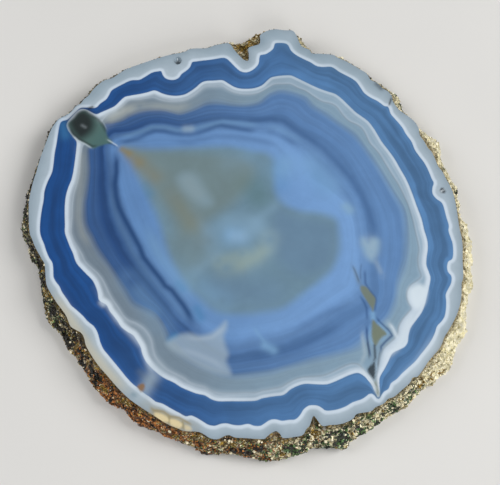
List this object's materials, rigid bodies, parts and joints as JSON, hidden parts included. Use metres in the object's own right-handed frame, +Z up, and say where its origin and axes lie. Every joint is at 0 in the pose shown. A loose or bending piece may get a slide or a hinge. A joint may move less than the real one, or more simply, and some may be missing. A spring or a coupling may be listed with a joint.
{
  "type": "agate slice",
  "caption": "Flat round-edged slab of banded blue agate, sawn and polished, with its rough natural rind left on all round.",
  "frame": {"origin": "centre of the footprint's box on the sawn underside", "axes": "+Z up out of the polished face; +Y towards the edge with the small jutting lobe and notch; +X to the right of it"},
  "size_m": [0.1028, 0.1034, 0.006],
  "materials": {
    "agate": "polished",
    "rind": "rough natural rind with small glittering crystals"
  },
  "bodies": {
    "root": {"agate_slice": "agate"}
  },
  "joints": []
}
